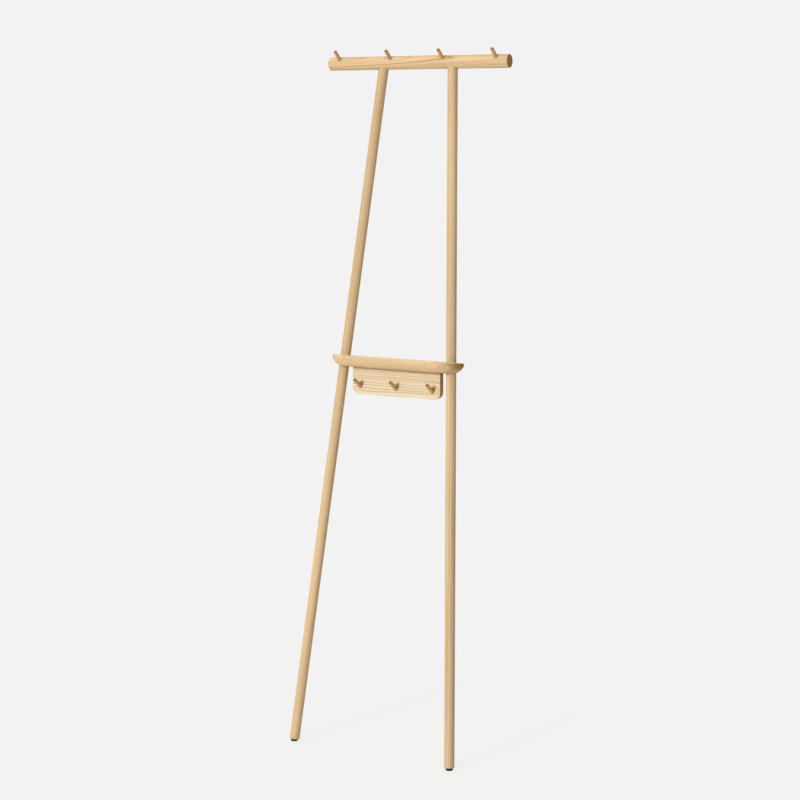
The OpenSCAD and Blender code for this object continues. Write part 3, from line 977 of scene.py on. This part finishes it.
def dowel_drills(bottom, top):
    """The drills for the board's dowels between two heights."""
    return [solid_between("dowel_bore", (x, tray_y, bottom), (x, tray_y, top), dowel_bore, sides=32)
            for x in (-DOWEL_PITCH, 0, DOWEL_PITCH)]


drills += dowel_drills(board_high.z - DOWEL_END_ROOM, dowel_high.z + DOWEL_END_ROOM)
cut(tray, drills)
finish_piece(tray, tray_wood, "ash_tray", "tray")

# %% [markdown]
# The board hangs plumb from a groove under the tray. It is a plain board, so its looks depend
# on its edges: real boards have them eased with a few strokes of sandpaper, and that thin
# rounding is what catches the light. The outline is drawn with arcs at the lower corners and
# given its thickness, a Bevel eases the edges, and only then are the slanted peg holes drilled,
# because a drill leaves its own edge crisp.

# %% Hook board
BOARD_CORNER = 18 * MM
BOARD_EASE, EASE_STEPS, EASE_ANGLE = 1.2 * MM, 3, radians(40)
CORNER_STEPS = 14


def board_outline():
    """The front outline as (x, z), from the upper right corner round by the left."""
    points = [(board_high.x, board_high.z), (board_low.x, board_high.z)]
    for x, first in ((board_low.x + BOARD_CORNER, 180), (board_high.x - BOARD_CORNER, 270)):
        for step in range(CORNER_STEPS + 1):
            turn = radians(first + 90 * step / CORNER_STEPS)
            points.append((x + BOARD_CORNER * cos(turn),
                           board_low.z + BOARD_CORNER * (1 + sin(turn))))
    return points


shape = bmesh.new()
front = shape.faces.new([shape.verts.new((x, board_low.y, z)) for x, z in board_outline()])
grown = bmesh.ops.extrude_face_region(shape, geom=[front])["geom"]
back = [corner for corner in grown if isinstance(corner, bmesh.types.BMVert)]
bmesh.ops.translate(shape, vec=(0, board_high.y - board_low.y, 0), verts=back)
bmesh.ops.recalc_face_normals(shape, faces=shape.faces)
board = piece_from("eased_board", shape)
ease = board.modifiers.new("ease", "BEVEL")
ease.width = BOARD_EASE
ease.segments = EASE_STEPS
ease.limit_method = "ANGLE"
ease.angle_limit = EASE_ANGLE
settle(board)
print("eased board has", len(board.data.polygons), "faces before it is drilled")

# %% [markdown]
# The pegs. Seven short dowels in two rows: four in the rail and three in the board, all of one
# diameter with a tip that is rounded over. A row is a rule again: a line of points, with one
# turned dowel set on each at the same slant. The tree has the sizes as inputs, so it serves
# both rows, and the places come from the construction's own pegs.

# %% Geometry nodes: a row of pegs
TIP_STEPS = 6


def make_peg_row():
    """Round pegs in a row along X, which slant up towards the user."""
    group, given, result = new_group(
        "row of pegs", "GeometryNodeTree",
        {"Count": 4, "Spacing": 0.15, "Middle": (0.0, 0.0, 0.0), "Rise": 0.7, "Diameter": 0.0095,
         "Length": 0.05, "Tip Rounding": 0.002, "Steps": 24, "Material": None}, ["Mesh"])
    take = given.outputs
    radius, length = calc(group, "MULTIPLY", take["Diameter"], 0.5), take["Length"]
    corners = [point(group, 0, 0), point(group, radius, 0), point(group, radius, length),
               point(group, 0, length)]
    outline = section(group, corners, [0.0, 0.0, take["Tip Rounding"], 0.0], TIP_STEPS)
    peg = carry_round(group, outline, 0.0, take["Steps"])

    span = calc(group, "MULTIPLY", calc(group, "SUBTRACT", take["Count"], 1), take["Spacing"])
    start = point(group, calc(group, "MULTIPLY", span, -0.5), 0)
    start = vector_calc(group, "ADD", take["Middle"], start)
    row = node(group, "GeometryNodeMeshLine", {"Count": take["Count"], "Start Location": start,
                                               "Offset": point(group, take["Spacing"], 0)})
    slant = point(group, calc(group, "SUBTRACT", pi / 2, take["Rise"]), 0)
    slant = node(group, "FunctionNodeEulerToRotation", {"Euler": slant})
    pegs = node(group, "GeometryNodeInstanceOnPoints",
                {"Points": row.outputs[0], "Instance": peg, "Rotation": slant.outputs[0]})
    end_tree(group, pegs.outputs[0], take["Material"], result)
    return built(group)


peg_row = make_peg_row()

# %% Rail pegs and board pegs
TIP_ROUNDING = 2 * MM
PEG_END_ROOM = 0.3 * MM
PEG_LIGHT, PEG_END = srgb(216, 182, 134), srgb(140, 98, 54)
PEG_RING, PEG_HEART = 2.6, (14, 22)


def grow_pegs(kind, count, seed):
    """One row of pegs in place of the construction's, and the line of each peg's axis."""
    replaced = [f"{kind}_peg_{number}" for number in range(1, count + 1)]
    axis = Vector(mounts[replaced[0]]["axis"])
    lines = [round_node(name, axis) for name in replaced]
    (first, first_tip, diameter), (last, _, _) = lines[0], lines[-1]
    wood = ash(f"ash_{kind}_peg", first, grain=axis, ring=PEG_RING, heart=PEG_HEART, drift=0.01,
               wander=5, seed=seed, light=PEG_LIGHT, sawn=PEG_END, rings=0.55)
    pegs = grow(f"{kind}_pegs", peg_row,
                {"Count": count, "Spacing": (last - first).length / (count - 1),
                 "Middle": (first + last) / 2, "Rise": asin(axis.z), "Diameter": diameter,
                 "Length": (first_tip - first).length, "Tip Rounding": TIP_ROUNDING, "Material": wood})
    finish_piece(pegs, wood, "ash_peg", *replaced)
    print(f"{kind} pegs rise {degrees(asin(axis.z)):.1f} degrees, {diameter / MM:.2f} mm thick")
    return lines


grow_pegs("rail", 4, 5.2)
board_peg_lines = grow_pegs("board", 3, 8.6)

# %% [markdown]
# Now the board can be drilled, because the lines of its pegs are known. Its plank is the palest
# of the rack and has its heart below it, so the rings stand close together under the tray and
# far apart at the bottom.

# %% Hook board, drilled and finished
drills = []
for start, tip, diameter in board_peg_lines:
    more = (tip - start).normalized() * PEG_END_ROOM
    drills.append(solid_between("peg_bore", start - more, tip + more, diameter / 2 + ROOM_ROUND_PEG,
                                sides=48))
drills += dowel_drills(dowel_low.z - DOWEL_END_ROOM, board_high.z + DOWEL_END_ROOM)
cut(board, drills)
board_wood = ash("ash_board", board_centre, ring=4.6, heart=(22, -40), drift=0.012, wander=10,
                 seed=93.3, light=srgb(238, 223, 193), sawn=srgb(196, 146, 78), rings=0.8, pores=0.4)
finish_piece(board, board_wood, "ash_board", "hook_board")
dress("board_dowels", ash("ash_dowel", board_centre, grain=(0, 0, 1), ring=PEG_RING, heart=PEG_HEART,
                          seed=71.3))
